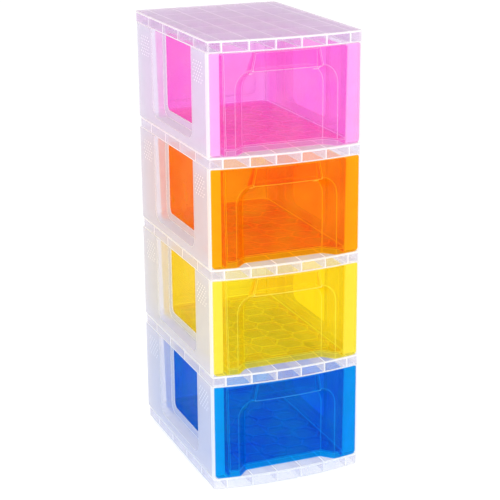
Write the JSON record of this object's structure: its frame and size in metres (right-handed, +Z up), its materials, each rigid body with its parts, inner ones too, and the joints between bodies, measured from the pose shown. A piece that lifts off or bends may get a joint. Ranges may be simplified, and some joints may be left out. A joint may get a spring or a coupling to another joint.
{
  "type": "plastic drawer tower",
  "caption": "Tall free-standing storage tower: clear ribbed plastic carcase with side windows, holding translucent coloured drawers with recessed handles that slide out forwards.",
  "frame": {"origin": "centre of the bounding box's base, on the floor", "axes": "+Z up, -Y towards the drawer fronts, +X to the right as seen from the front"},
  "size_m": [0.3, 0.42, 0.86],
  "materials": {
    "clear_frame": "frosted translucent clear polypropylene, smooth moulded gloss",
    "blue_plastic": "translucent blue polypropylene, smooth moulded gloss",
    "yellow_plastic": "translucent yellow polypropylene, smooth moulded gloss",
    "orange_plastic": "translucent orange polypropylene, smooth moulded gloss",
    "pink_plastic": "translucent pink polypropylene, smooth moulded gloss"
  },
  "bodies": {
    "carcase": {"base_shelf": "clear_frame", "middle_shelf_1": "clear_frame", "middle_shelf_2": "clear_frame", "middle_shelf_3": "clear_frame", "top_lid": "clear_frame", "side_panel_left_1": "clear_frame", "side_panel_left_2": "clear_frame", "side_panel_left_3": "clear_frame", "side_panel_left_4": "clear_frame", "side_panel_right_1": "clear_frame", "side_panel_right_2": "clear_frame", "side_panel_right_3": "clear_frame", "side_panel_right_4": "clear_frame", "back_panel_1": "clear_frame", "back_panel_2": "clear_frame", "back_panel_3": "clear_frame", "back_panel_4": "clear_frame"},
    "blue_drawer": {"drawer_blue": "blue_plastic"},
    "yellow_drawer": {"drawer_yellow": "yellow_plastic"},
    "orange_drawer": {"drawer_orange": "orange_plastic"},
    "pink_drawer": {"drawer_pink": "pink_plastic"}
  },
  "joints": [
    {"name": "blue_drawer_slide", "type": "slide", "parent": "carcase", "child": "blue_drawer", "axis": [0, -1, 0], "range_m": [0, 0.3]},
    {"name": "yellow_drawer_slide", "type": "slide", "parent": "carcase", "child": "yellow_drawer", "axis": [0, -1, 0], "range_m": [0, 0.3]},
    {"name": "orange_drawer_slide", "type": "slide", "parent": "carcase", "child": "orange_drawer", "axis": [0, -1, 0], "range_m": [0, 0.3]},
    {"name": "pink_drawer_slide", "type": "slide", "parent": "carcase", "child": "pink_drawer", "axis": [0, -1, 0], "range_m": [0, 0.3]}
  ]
}
